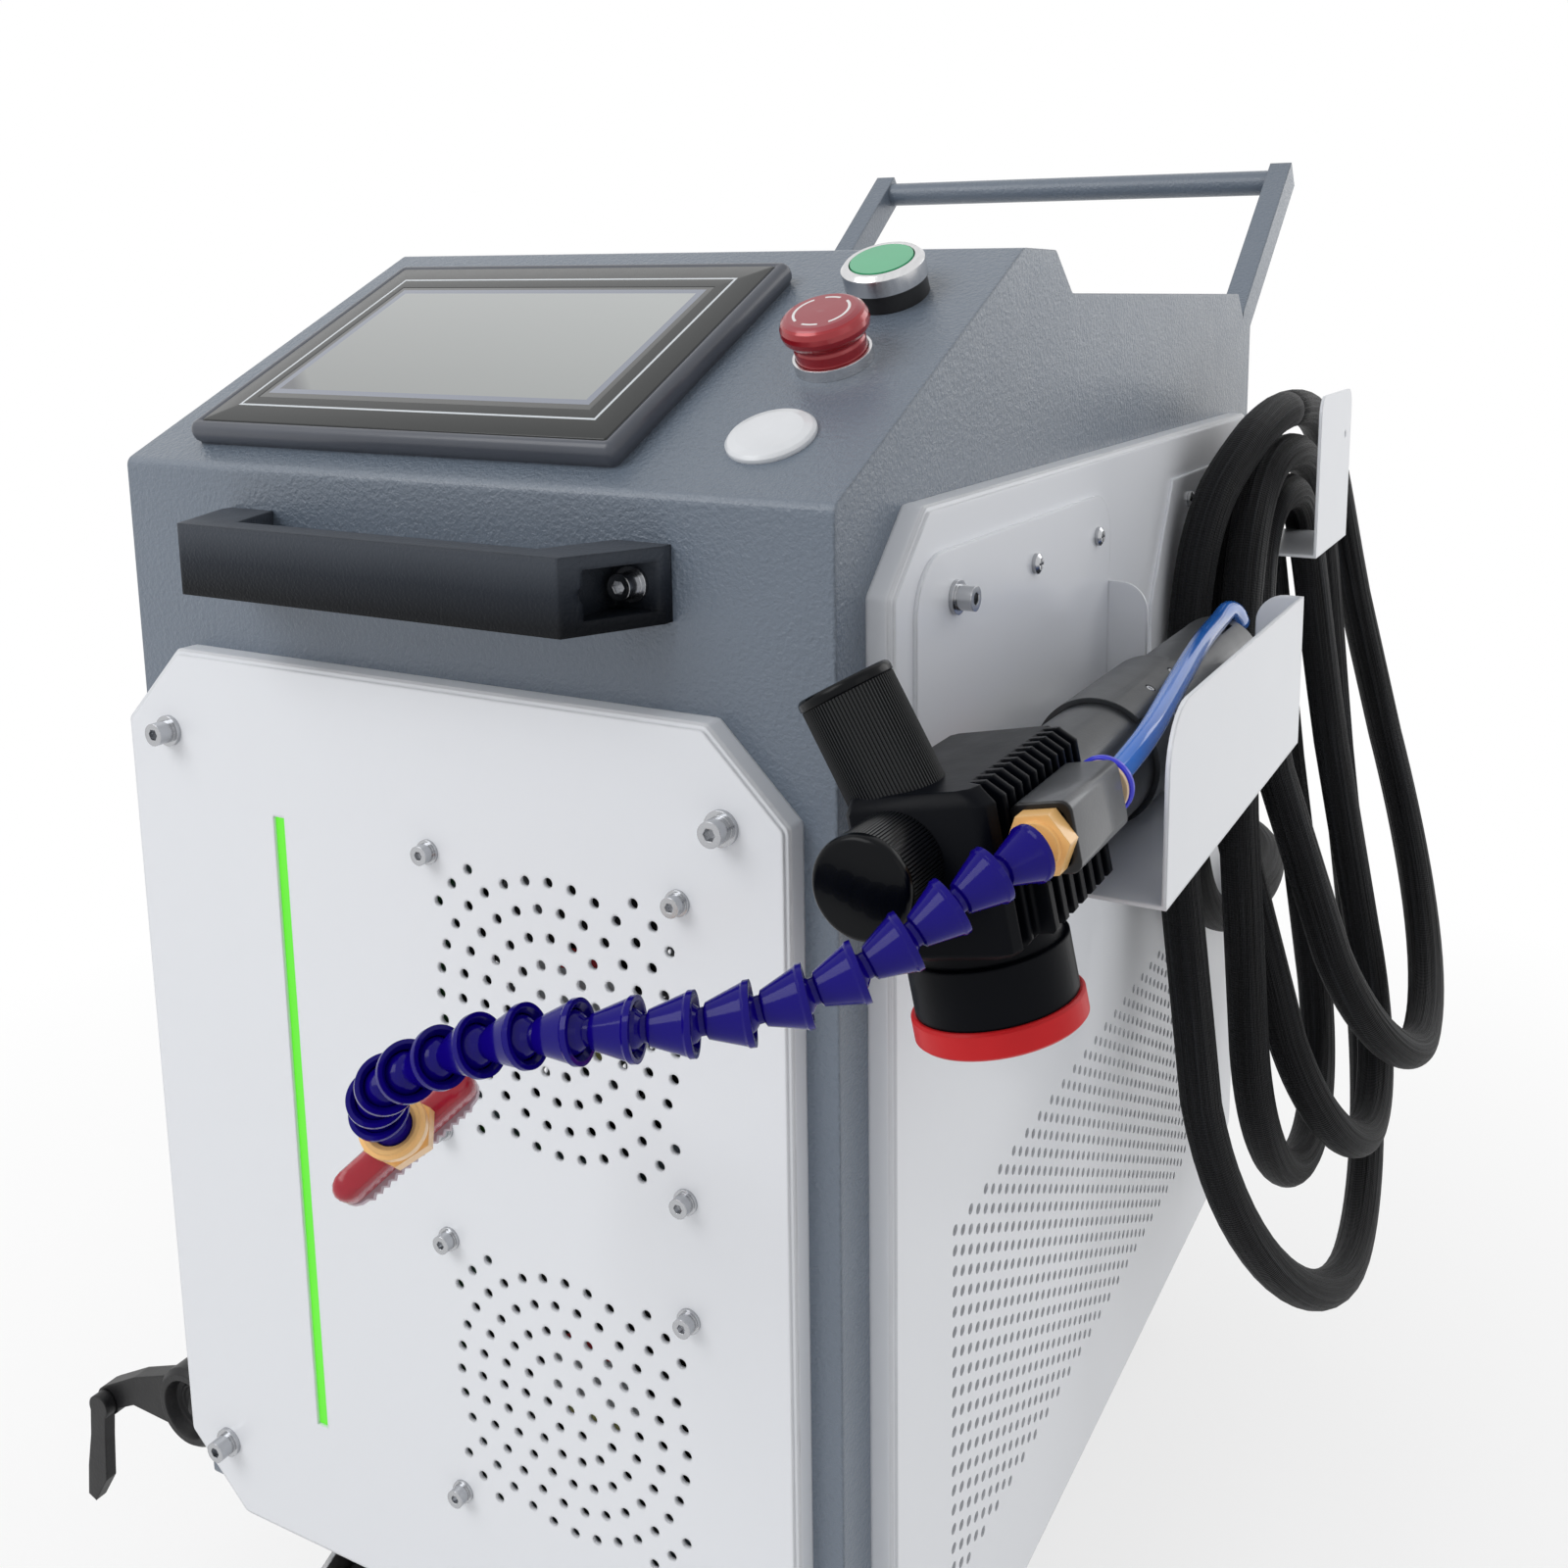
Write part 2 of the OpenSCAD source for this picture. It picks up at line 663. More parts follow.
module start_collar() {
    color([0.8, 0.8, 0.8])
    on_slope(button_x, button_up + 2 * button_pitch) {
        difference() {
            union() {
                cylinder(d = head_d - 1.6, h = 7);
                translate([0, 0, 7]) cylinder(d = head_d, h = rim_h - 8.5);
                translate([0, 0, rim_h - 1.5]) cylinder(d1 = head_d, d2 = head_d - 3, h = 1.5, $fn = 64);
            }
            translate([0, 0, 6]) cylinder(d = cap_d + 1, h = rim_h);
            translate([0, 0, -1]) cylinder(d = stem_d + 1, h = rim_h);
        }
        button_root();
    }
}
module start_cap() {
    color([0.1, 0.6, 0.4])
    on_slope(button_x, button_up + 2 * button_pitch) {
        translate([0, 0, 6 + start_travel + rest_gap]) cylinder(d = cap_d, h = rim_h - 6 - start_travel);
        translate([0, 0, -14 + start_travel + rest_gap]) cylinder(d = stem_d, h = 21);
    }
}
plug_d = 31;
module hole_plug() {
    color([0.93, 0.94, 0.95])
    on_slope(button_x, button_up) {
        rotate_extrude($fn = 64) polygon([
            [0, 0], [plug_d / 2, 0], [plug_d / 2, 1.4], [plug_d / 2 - 1, 2.4], [plug_d / 2 - 4, 3.1], [0, 3.4]
        ]);
        translate([0, 0, -6]) cylinder(d = thread_d, h = 6);
    }
}

module side_panels() {
    color([0.88, 0.89, 0.91])
    for (s = [-1, 1])
        difference() {
            mirror([s < 0 ? 1 : 0, 0, 0])
                translate([side_x, side_panel_y0, cab_base]) rotate([90, 0, 90])
                    tray(side_panel_l, side_h, panel_chamfer - 4, panel_proud);
            for (p = side_bolts)
                bar_x(bolt_d + 2 * fit_gap, s * side_x - 20, s * side_x + 20, p[0], p[1]);
            if (s > 0)
                for (p = concat(cradle_screws, hanger_screws))
                    bar_x(pan_d + 2 * fit_gap, side_x, side_x + 20, p[0], p[1]);
        }
}

gas_x = 90;
gas_z = cab_base + 150;
gland_x = 30;
gland_z = cab_base + 185;
inlet_x = -70;
inlet_z = cab_base + 150;
inlet_w = 50;
inlet_h = 60;
gas_bore = 8;
gas_hole = 14.5;
gland_hole = 32.5;
louvre_n = 8;
louvre_l = 110;
louvre_w = 6;
louvre_pitch = 14;
louvre_lift = 240;
inlet_depth = 24;
inlet_rim = 4;
inlet_rim_t = 3;
socket_w = 24;
socket_h = 18;
rocker_w = 26;
rocker_h = 20;
rocker_pin = 3;

module rear_panel() {
    color([0.33, 0.37, 0.42])
    difference() {
        translate([-rear_panel_w / 2, rear_y, cab_base + rear_panel_lift])
            cube([rear_panel_w, rear_panel_t, rear_panel_h]);
        translate([inlet_x - inlet_w / 2 - fit_gap, rear_y - 1, inlet_z - inlet_h / 2 - fit_gap])
            cube([inlet_w + 2 * fit_gap, rear_panel_t + 2, inlet_h + 2 * fit_gap]);
        bar_y(gas_hole, gas_x, rear_y - 1, rear_y + rear_panel_t + 1, gas_z);
        bar_y(gland_hole, gland_x, rear_y - 1, rear_y + rear_panel_t + 1, gland_z);
        for (i = [0:louvre_n - 1])
            translate([-louvre_l / 2, rear_y - 1, cab_base + louvre_lift + i * louvre_pitch])
                cube([louvre_l, rear_panel_t + 2, louvre_w]);
    }
}
module power_inlet() {
    color([0.08, 0.08, 0.09])
    difference() {
        union() {
            translate([inlet_x - inlet_w / 2, rear_y - inlet_depth, inlet_z - inlet_h / 2])
                cube([inlet_w, inlet_depth + rear_panel_t, inlet_h]);
            translate([inlet_x - inlet_w / 2, rear_y + rear_panel_t, inlet_z - inlet_h / 2])
                translate([-inlet_rim, 0, -inlet_rim])
                    cube([inlet_w + 2 * inlet_rim, inlet_rim_t, inlet_h + 2 * inlet_rim]);
        }
        translate([inlet_x - rocker_w / 2, rear_y - 14, inlet_z + 4]) cube([rocker_w, 30, rocker_h]);
        translate([inlet_x - socket_w / 2, rear_y - 14, inlet_z - 24]) cube([socket_w, 30, socket_h]);
    }
}
rocker_x = 11.2;
module power_rocker() {
    color([0.75, 0.08, 0.08])
    translate([inlet_x, rear_y - 2, inlet_z + 14]) {
        rotate([0, 90, 0]) translate([0, 0, -rocker_x]) linear_extrude(2 * rocker_x)
            polygon([[-8.6, 5.8], [7.2, 9.3], [8.6, 4], [5, -6], [-5, -6], [-8.6, 2]]);
        bar_x(rocker_pin, -rocker_w / 2 + rest_gap, rocker_w / 2 - rest_gap, 0, 0);
    }
}
module gas_inlet() {
    color([0.75, 0.6, 0.3])
    difference() {
        union() {
            bar_y(14, gas_x, rear_y - 12, rear_y + rear_panel_t + 16, gas_z);
            translate([gas_x, rear_y + rear_panel_t, gas_z]) rotate([-90, 0, 0])
                cylinder(d = 20, h = 5, $fn = 6);
        }
        bar_y(gas_bore, gas_x, rear_y + rear_panel_t - 2, rear_y + rear_panel_t + 17, gas_z);
    }
}
module hose_gland() {
    color([0.08, 0.08, 0.09])
    difference() {
        union() {
            bar_y(32, gland_x, rear_y - 10, rear_y + rear_panel_t, gland_z);
            bar_y(42, gland_x, rear_y + rear_panel_t, rear_y + rear_panel_t + 8, gland_z);
            bar_y(34, gland_x, rear_y + rear_panel_t + 8, rear_y + rear_panel_t + 24, gland_z);
        }
        bar_y(hose_d, gland_x, rear_y + rear_panel_t + 6, rear_y + rear_panel_t + 25, gland_z);
    }
}

push_x = push_w / 2 - push_leg_x / 2;
knee_y = rear_y + push_leg_t / 2;
knee_z = deck_z - 15;
push_bolts = [knee_z - push_root + 14, knee_z - push_root + 54];
module push_handle() {
    lean = [cos(push_angle), sin(push_angle)];
    side = [sin(push_angle), -cos(push_angle)] * push_leg_t / 2;
    mitre = [1 + sin(push_angle), -cos(push_angle)] * push_leg_t / 2 / (1 + sin(push_angle));
    knee = [knee_y, knee_z];
    foot_z = knee_z - push_root;
    color([0.33, 0.37, 0.42]) {
        for (s = [-1, 1]) difference() {
            translate([s * push_x - push_leg_x / 2, 0, 0]) rotate([90, 0, 90]) linear_extrude(push_leg_x)
                polygon([
                    [rear_y, foot_z], [rear_y + push_leg_t, foot_z], knee + mitre,
                    knee + lean * push_l + side, knee + lean * push_l - side, knee - mitre
                ]);
            for (z = push_bolts)
                bar_y(bolt_d + 2 * fit_gap, s * push_x, rear_y - 1, rear_y + push_leg_t + 1, z);
        }
        translate([0, knee_y, knee_z]) rotate([push_angle, 0, 0])
            bar_x(push_bar_d, -push_x, push_x, push_l - push_leg_t / 2, 0);
    }
}

cradle_corner = 20;
ear_corner = 12;
module gun_holder() {
    notch_r = notch_w / 2;
    color([0.93, 0.94, 0.95]) {
        difference() {
            translate([side_face, cradle_y0, cradle_z]) rotate([90, 0, 90]) linear_extrude(plate_t)
                polygon(concat(
                    [[0, 0], [cradle_l, 0]],
                    corner_arc([cradle_l, 0], [cradle_l, cradle_back_h], [0, cradle_back_h],
                        cradle_corner, 8),
                    corner_arc([cradle_l, cradle_back_h], [0, cradle_back_h], [0, 0], cradle_corner, 8)));
            for (p = cradle_screws) bar_x(pan_d + 2 * fit_gap, side_x, side_x + 20, p[0], p[1]);
            bar_x(bolt_d + 2 * fit_gap, side_x, side_x + 20, cradle_bolt[0], cradle_bolt[1]);
        }
        translate([side_face, cradle_y0, cradle_z]) cube([cradle_w + plate_t, cradle_l, plate_t]);
        translate([cradle_out - plate_t, cradle_y0, cradle_z]) rotate([90, 0, 90]) linear_extrude(plate_t)
            polygon(concat(
                [[0, 0], [cradle_l, 0], [cradle_l, cradle_h]],
                corner_arc([cradle_l, cradle_h], [0, cradle_h], [0, 0], cradle_corner, 8)));
        difference() {
            upright(cradle_y1 - plate_t, plate_t) polygon(concat(
                [[side_face, cradle_z], [cradle_out, cradle_z], [cradle_out, cradle_z + cradle_h]],
                corner_arc([cradle_out, cradle_z + cradle_h], [gun_x + notch_r, cradle_z + cradle_h],
                    [gun_x + notch_r, cradle_z], ear_corner, 8),
                [[gun_x + notch_r, cradle_z + plate_t + notch_r],
                    [gun_x - notch_r, cradle_z + plate_t + notch_r]],
                corner_arc([gun_x - notch_r, cradle_z], [gun_x - notch_r, cradle_z + cradle_h],
                    [side_face, cradle_z + cradle_h], ear_corner, 8),
                [[side_face, cradle_z + cradle_h]]));
            bar_y(notch_w, gun_x, cradle_y1 - plate_t - 1, cradle_y1 + 1, cradle_z + plate_t + notch_r);
        }
    }
}

module hose_hanger() {
    color([0.93, 0.94, 0.95]) {
        difference() {
            translate([side_face, 0, 0]) rotate([90, 0, 90]) linear_extrude(plate_t)
                polygon([
                    [hanger_y0 - hanger_slant, hanger_z1 - hanger_h],
                    [hanger_y0 + hanger_l, hanger_z1 - hanger_h],
                    [hanger_y0 + hanger_l, hanger_z1], [hanger_y0, hanger_z1],
                    [hanger_y0 - hanger_slant, hanger_z1 - 57]
                ]);
            for (p = hanger_screws) bar_x(pan_d + 2 * fit_gap, side_x, side_x + 20, p[0], p[1]);
            bar_x(bolt_d + 2 * fit_gap, side_x, side_x + 20, hanger_bolt[0], hanger_bolt[1]);
        }
        translate([side_face, hanger_mid - tongue_l / 2, tongue_z]) cube([hanger_out, tongue_l, plate_t]);
        difference() {
            translate([flange_x - plate_t, hanger_mid - tongue_l / 2, tongue_z]) rotate([90, 0, 90])
                linear_extrude(plate_t) polygon(concat(
                    [[0, 0], [tongue_l, 0]],
                    corner_arc([tongue_l, 0], [tongue_l, flange_h], [0, flange_h], 10, 6),
                    corner_arc([tongue_l, flange_h], [0, flange_h], [0, 0], 10, 6)));
            bar_x(4, flange_x - 10, flange_x + 10, hanger_mid + 26, tongue_z + flange_h - 24);
        }
    }
}

module bracket_screws() {
    color([0.8, 0.8, 0.8])
    for (p = concat(cradle_screws, hanger_screws))
        translate([side_face + plate_t, p[0], p[1]]) rotate([0, 90, 0]) difference() {
            union() {
                translate([0, 0, -pan_l]) cylinder(d = pan_d, h = pan_l + pan_head_h / 2);
                cylinder(d = pan_head, h = pan_head_h - 1);
                translate([0, 0, pan_head_h - 1]) cylinder(d1 = pan_head, d2 = pan_head - 3, h = 1, $fn = 32);
            }
            for (a = [0, 90]) rotate(a) translate([-2.2, -0.5, pan_head_h - 1.2]) cube([4.4, 1, 2]);
        }
}

source_side = 30;
source_front = 60;
source_l = 260;
source_h = 95;
fin_margin = 8;
fin_pitch = 14;
fin_t = 2.5;
fin_h = 14;
module laser_source() {
    source_w = cab_w - 2 * source_side;
    color([0.15, 0.15, 0.16])
    translate([-source_w / 2, front_y + source_front, cab_base + sheet]) {
        cube([source_w, source_l, source_h]);
        for (x = [fin_margin:fin_pitch:source_w - fin_margin - fin_t])
            translate([x, fin_margin, source_h]) cube([fin_t, source_l - 2 * fin_margin, fin_h]);
    }
}
port_x = -side_face - 24.5;
port_y = front_y + 22;
port_z = cab_base + 53;
port_d = 38;
port_t = 16;
lug = [-60, -19];
lug_d = 14;
lever_pin = 4;
lever_l = 50;
port_pipe = 16;
port_flange = 34;
port_flange_t = 4;

module side_port() {
    color([0.06, 0.06, 0.07]) {
        translate([port_x, port_y, port_z]) {
            rotate([90, 0, 0]) rotate_extrude($fn = 64) polygon([
                [0, -port_t / 2], [port_d / 2 - 2, -port_t / 2], [port_d / 2, -port_t / 2 + 2],
                [port_d / 2, port_t / 2 - 2], [port_d / 2 - 2, port_t / 2], [port_d / 2 - 5, port_t / 2],
                [port_d / 2 - 7, port_t / 2 - 5], [9.5, port_t / 2 - 5.5], [9, port_t / 2 - 4.8],
                [8, port_t / 2 - 4.8], [7.5, port_t / 2 - 5.8], [5.5, port_t / 2 - 6],
                [5, port_t / 2 - 5.2], [0, port_t / 2 - 5.2]
            ]);
            difference() {
                rotate([90, 0, 0]) linear_extrude(8, center = true) difference() {
                    union() {
                        polygon([[-14, 10], [-40, 0], lug + [-2, lug_d / 2], lug + [-4, -lug_d / 2],
                            [-42, -15], [-10, -16]]);
                        translate(lug) circle(d = lug_d);
                    }
                    circle(d = port_d - 1);
                }
                translate([lug[0], 0, lug[1]]) rotate([90, 0, 0])
                    cylinder(d = lever_pin + 2 * fit_gap, h = 20, center = true);
            }
        }
        bar_x(port_pipe, port_x, -side_face, port_y + 1, port_z);
        bar_x(port_flange, -side_face - port_flange_t, -side_face, port_y + 1, port_z);
    }
}
module side_port_lever() {
    color([0.06, 0.06, 0.07])
    translate([port_x + lug[0], port_y, port_z + lug[1]]) rotate([90, 0, 0]) {
        cylinder(d = lever_pin, h = 12, center = true);
        translate([0, 0, 4 + rest_gap]) linear_extrude(5) {
            circle(d = 12);
            polygon([[-5, 2], [5, 0], [3, -16], [1, -38], [-8, -lever_l - 2], [-13, -lever_l],
                [-11, -34], [-7, -16]]);
        }
        translate([0, 0, -4 - rest_gap - 2]) cylinder(d = 8, h = 2);
    }
}

gun_z = cradle_z + plate_t + collar_d / 2 + rest_gap;
head_y1 = cradle_y0 - 6;
head_y0 = head_y1 - head_l;
head_up = 6;
collar_y0 = cradle_y0 + 58;
collar_l = 70;
connector_l = 95;
connector_d = 40;
tube_y1 = collar_y0 + collar_l;
lens_x = -4;
lens_y = (head_y0 + head_y1) / 2;
lens_z = head_up - head_h / 2;
motor_x = -8;
motor_z = head_up + 5.5;
motor_front = 22;
top_tilt = 18;
air_x = head_w / 2 + 9;
air_z = 12;
air_w = 18;
air_h = 20;
air_l = 46;
air_y0 = head_y0 + 12;
nut_l = 8;
nut_corner = 19;
neck_l = 7.5;
ball_d = 11.4;
socket_d = ball_d + 2 * rest_gap;
neck_r = 3.4;
bore_r = 2.4;
// The ball on the gun that holds the first hose segment
ball_y = air_y0 - nut_l - neck_l;

// Places its children in the gun's own frame: its tube along Y, its lens below
module in_gun() {
    translate([gun_x, 0, gun_z]) rotate([0, -gun_roll, 0]) children();
}

low_fins = 7;
rib_pitch = 7.6;
module galvo_housing() {
    color([0.17, 0.18, 0.19])
    in_gun() difference() {
        union() {
            translate([-head_w / 2, head_y0, head_up - head_h / 2]) cube([head_w, head_l, head_h]);
            for (i = [0:low_fins - 1])
                translate([head_w / 2, head_y0 + 17 + i * rib_pitch, head_up - head_h / 2 + 1])
                    cube([5, 3, 17]);
        }
        for (i = [0:low_fins])
            translate([head_w / 2 - 3, head_y0 + 12 + i * rib_pitch, head_up - head_h / 2 + 20])
                cube([4, 3.6, head_h - 24]);
        bar_y(nut_corner + 2, air_x, head_y0 - 1, air_y0 + rest_gap, air_z);
        translate([lens_x, lens_y, lens_z - 1]) cylinder(d = lens_d - 12, h = 5);
    }
}
module galvo_motors() {
    color([0.09, 0.09, 0.1])
    in_gun() difference() {
        union() {
            translate([motor_x, head_y0 - motor_front, motor_z]) rotate([-90, 0, 0]) {
                cylinder(d = motor_d, h = motor_front);
            }
            translate([motor_x - 3, head_y0 + motor_d / 2 + 2, head_up + head_h / 2 - 8])
                rotate([0, -top_tilt, 0]) {
                    cylinder(d = motor_d, h = motor_l + 6);
                    translate([0, 0, motor_l + 6]) cylinder(d1 = motor_d, d2 = motor_d - 3, h = 1.5, $fn = 64);
                }
        }
        translate([-head_w / 2, head_y0, head_up - head_h / 2]) cube([head_w, head_l, head_h]);
    }
}
module lens_barrel() {
    color([0.08, 0.08, 0.09])
    in_gun() translate([lens_x, lens_y, lens_z - lens_h]) difference() {
        rotate_extrude($fn = 96) polygon([
            [lens_d / 2 - 6, 0], [lens_d / 2, 0], [lens_d / 2, lens_h - 8], [lens_d / 2 - 2, lens_h - 7.4],
            [lens_d / 2 - 2, lens_h - 2], [lens_d / 2 - 4, lens_h - 2], [lens_d / 2 - 4, lens_h],
            [lens_d / 2 - 6, lens_h]
        ]);
    }
}
ring_h = 8;
module lens_ring() {
    color([0.8, 0.08, 0.12])
    in_gun() translate([lens_x, lens_y, lens_z - lens_h - ring_h]) rotate_extrude($fn = 96) polygon([
        [lens_d / 2 - 4, 0], [lens_ring_d / 2 - 0.8, 0], [lens_ring_d / 2, 0.8],
        [lens_ring_d / 2, ring_h - 0.8], [lens_ring_d / 2 - 0.8, ring_h], [lens_d / 2 - 6, ring_h],
        [lens_d / 2 - 6, ring_h - 2], [lens_d / 2 - 4, ring_h - 2]
    ]);
}
module lens_glass() {
    color([0.6, 0.7, 0.75])
    in_gun() translate([lens_x, lens_y, lens_z - lens_h - 4.2]) cylinder(d = lens_d - 8, h = 2.2);
}
trigger_travel = 2.5;
trigger_y = (head_y1 + collar_y0) / 2 + 4;
trigger_bore = 7;
module gun_tube() {
    color([0.2, 0.21, 0.22])
    in_gun() difference() {
        bar_y(tube_d, 0, head_y1, tube_y1, 0);
        translate([-tube_d / 2 - 1, trigger_y, 0]) rotate([0, 90, 0]) cylinder(d = trigger_bore, h = 12);
    }
}
module tube_collar() {
    color([0.2, 0.2, 0.21])
    in_gun() difference() {
        bar_y(collar_d, 0, collar_y0, tube_y1, 0);
        bar_y(tube_d, 0, collar_y0 - 1, tube_y1 + 1, 0);
        rotate([0, -35, 0]) translate([tube_d / 2 - 2, collar_y0 - 1, -0.6]) cube([6, collar_l + 2, 1.2]);
        for (y = [collar_y0 + 30, tube_y1 - 12], a = [-52, -18])
            rotate([0, a, 0]) translate([collar_d / 2 - 1, y, 0]) rotate([0, 90, 0]) cylinder(d = 4, h = 2);
    }
}
module hose_connector() {
    color([0.13, 0.13, 0.14])
    in_gun() difference() {
        bar_y(connector_d, 0, tube_y1, tube_y1 + connector_l, 0);
        bar_y(hose_d, 0, tube_y1 + connector_l - 15, tube_y1 + connector_l + 1, 0);
        for (a = [0:60:300])
            rotate([0, a, 0]) translate([connector_d / 2 - 2.5, tube_y1 + connector_l - 26, -2.5])
                cube([4, 18, 5]);
    }
}
module trigger() {
    color([0.65, 0.1, 0.1])
    in_gun() translate([-tube_d / 2, trigger_y, 0]) rotate([0, -90, 0]) {
        translate([0, 0, -8 + trigger_travel]) cylinder(d = trigger_bore - 1, h = 8 + 2);
        translate([0, 0, trigger_travel + rest_gap]) linear_extrude(6) {
            square([12, 22], center = true);
            for (s = [-1, 1]) translate([0, s * 11]) circle(d = 12);
        }
    }
}
module air_block() {
    color([0.3, 0.31, 0.32])
    in_gun() difference() {
        translate([air_x - air_w / 2, air_y0, air_z - air_h / 2]) rotate([90, 0, 90]) linear_extrude(air_w)
            polygon([[0, 0], [air_l - 5, 0], [air_l, 5], [air_l, air_h - 5], [air_l - 5, air_h], [0, air_h]]);
        bar_y(12, air_x, air_y0 + air_l - 8, air_y0 + air_l + 1, air_z);
        bar_y(2 * bore_r, air_x, air_y0 - 1, air_y0 + air_l - 7, air_z);
    }
}
air_tube_d = 8;
module push_in_ring() {
    color([0.1, 0.2, 0.7])
    in_gun() difference() {
        union() {
            bar_y(12, air_x, air_y0 + air_l - 8, air_y0 + air_l + 1, air_z);
            bar_y(15, air_x, air_y0 + air_l, air_y0 + air_l + 3, air_z);
        }
        bar_y(air_tube_d, air_x, air_y0 + air_l - 9, air_y0 + air_l + 4, air_z);
    }
}

// A hose ball with its neck, from the neck's far end at t = from to past the ball at t = 0
function ball_points(from) =
    [[bore_r, from], [neck_r, from], [neck_r, -sqrt(pow(ball_d / 2, 2) - pow(neck_r, 2))],
        for (a = [-36:18:60]) [ball_d / 2 * cos(a), ball_d / 2 * sin(a)],
        [bore_r, sqrt(pow(ball_d / 2, 2) - pow(bore_r, 2))]];
// The socket that grips a ball at t = 0, as far as its bore
function socket_points() =
    [for (a = [60:-18:-12]) [socket_d / 2 * cos(a), socket_d / 2 * sin(a)],
        [socket_d / 2 * cos(20), -socket_d / 2 * sin(20)], [seg_d / 2 - 1.2, -3.5], [seg_d / 2, -3.5]];

module air_nut() {
    color([0.95, 0.65, 0.25])
    in_gun() translate([air_x, ball_y, air_z]) rotate([-90, 0, 0]) {
        rotate([0, 180, 0]) rotate_extrude(convexity = 4) polygon(ball_points(-neck_l));
        difference() {
            union() {
                translate([0, 0, neck_l]) cylinder(d = 13.5, h = 2);
                translate([0, 0, neck_l + 2]) cylinder(d = nut_corner, h = nut_l - 2, $fn = 6);
            }
            translate([0, 0, neck_l - 1]) cylinder(r = bore_r, h = nut_l + 2);
        }
    }
}

// Heading and dip of each hose segment from the gun to the nozzle
seg_turn = [-116, -123, -129, -136, -142, -146, -150, -154, -160, -167, -173, -179, -186, -199, -213,
    -227, -240];
seg_dip = [12, 24, 28, 25, 19, 13, 8, 5, 6, 12, 20, 26, 31, 35, 40, 43, 44];
seg_count = len(seg_turn);
seg_split = 9;
nozzle_turn = -235;
nozzle_dip = 37;
function heading(turn, dip) = [cos(turn) * cos(dip), sin(turn) * cos(dip), -sin(dip)];
gun_ball = [gun_x + air_x * cos(gun_roll) - air_z * sin(gun_roll), ball_y,
    gun_z + air_x * sin(gun_roll) + air_z * cos(gun_roll)];
function seg_start(i) = i == 0 ? gun_ball
    : seg_start(i - 1) + seg_pitch * heading(seg_turn[i - 1], seg_dip[i - 1]);

// Places its children at a point with Z along a heading
module headed(p, turn, dip) {
    translate(p) rotate([0, 90 + dip, turn]) children();
}
module segment() {
    rotate_extrude(convexity = 6, $fn = 40) polygon(concat(
        [[bore_r, sqrt(pow(socket_d / 2, 2) - pow(bore_r, 2))]],
        socket_points(),
        [[seg_d / 2, -2], [seg_d / 2 - 0.5, -1.4], [4.4, 7.5], [neck_r, 8]],
        [for (p = ball_points(0)) if (p[1] != 0 || p[0] > neck_r + 0.1) [p[0], p[1] + seg_pitch]]
    ));
}
module coolant_hose_a() {
    color([0.05, 0.02, 0.55])
    for (i = [0:seg_split - 1]) headed(seg_start(i), seg_turn[i], seg_dip[i]) segment();
}
module coolant_hose_b() {
    color([0.05, 0.02, 0.55])
    for (i = [seg_split:seg_count - 1]) headed(seg_start(i), seg_turn[i], seg_dip[i]) segment();
}
nozzle_nut_l = 16;
module nozzle_nut() {
    color([0.95, 0.65, 0.25])
    headed(seg_start(seg_count), nozzle_turn, nozzle_dip) {
        rotate_extrude(convexity = 6, $fn = 48) polygon(concat(
            [[bore_r, sqrt(pow(socket_d / 2, 2) - pow(bore_r, 2))]],
            socket_points(),
            [[seg_d / 2, -2], [9.2, -1.5], [9.2, 4], [8, 5], [8, 7], [bore_r, 7]]
        ));
        difference() {
            translate([0, 0, 7]) cylinder(d = 20.5, h = nozzle_nut_l - 7, $fn = 6);
            translate([0, 0, 6]) cylinder(r = bore_r, h = nozzle_nut_l);
        }
    }
}
nozzle_t = 12;
nozzle_depth = 12;
comb_h = 4;
comb_n = 14;
nozzle_spin = 50;
module flat_nozzle() {
    reach = nozzle_w / 2 - nozzle_t / 2;
    color([0.66, 0.08, 0.15])
    headed(seg_start(seg_count), nozzle_turn, nozzle_dip) rotate(nozzle_spin)
    translate([0, 0, nozzle_nut_l]) difference() {
        union() {
            linear_extrude(nozzle_depth) {
                square([2 * reach, nozzle_t], center = true);
                for (s = [-1, 1]) translate([s * reach, 0]) circle(d = nozzle_t);
            }
            translate([0, 0, nozzle_depth]) linear_extrude(comb_h) {
                square([2 * reach + 4, nozzle_t - 5], center = true);
                for (i = [0:comb_n - 1], s = [-1, 1])
                    translate([(i - (comb_n - 1) / 2) * (2 * reach + 2) / comb_n, s * (nozzle_t / 2 - 2.5)])
                        circle(d = 2.2, $fn = 16);
            }
        }
        translate([0, 0, -1]) cylinder(r = bore_r, h = nozzle_depth - 3);
        translate([-reach, -2, 4]) cube([2 * reach, 4, nozzle_depth]);
        translate([0, 0, nozzle_depth - 1]) linear_extrude(comb_h + 2)
            square([2 * reach, 1.6], center = true);
    }
}

plate_w = 70;
plate_l = 60;
castor_plate_t = 4;
race_h = 5;
race_d = 44;
pin_d = 10;
fork_top = castor_h - castor_plate_t - race_h - rest_gap;
crown_t = 4;
leg_t = 2.5;
axle_d = 8;
wheel_gap = 0.8;
axle_z = wheel_d / 2;
fork_w = wheel_w + 2 * wheel_gap + 2 * leg_t;
pedal_reach = 30;
pedal_z = axle_z + 30;
pedal_pin = 5;

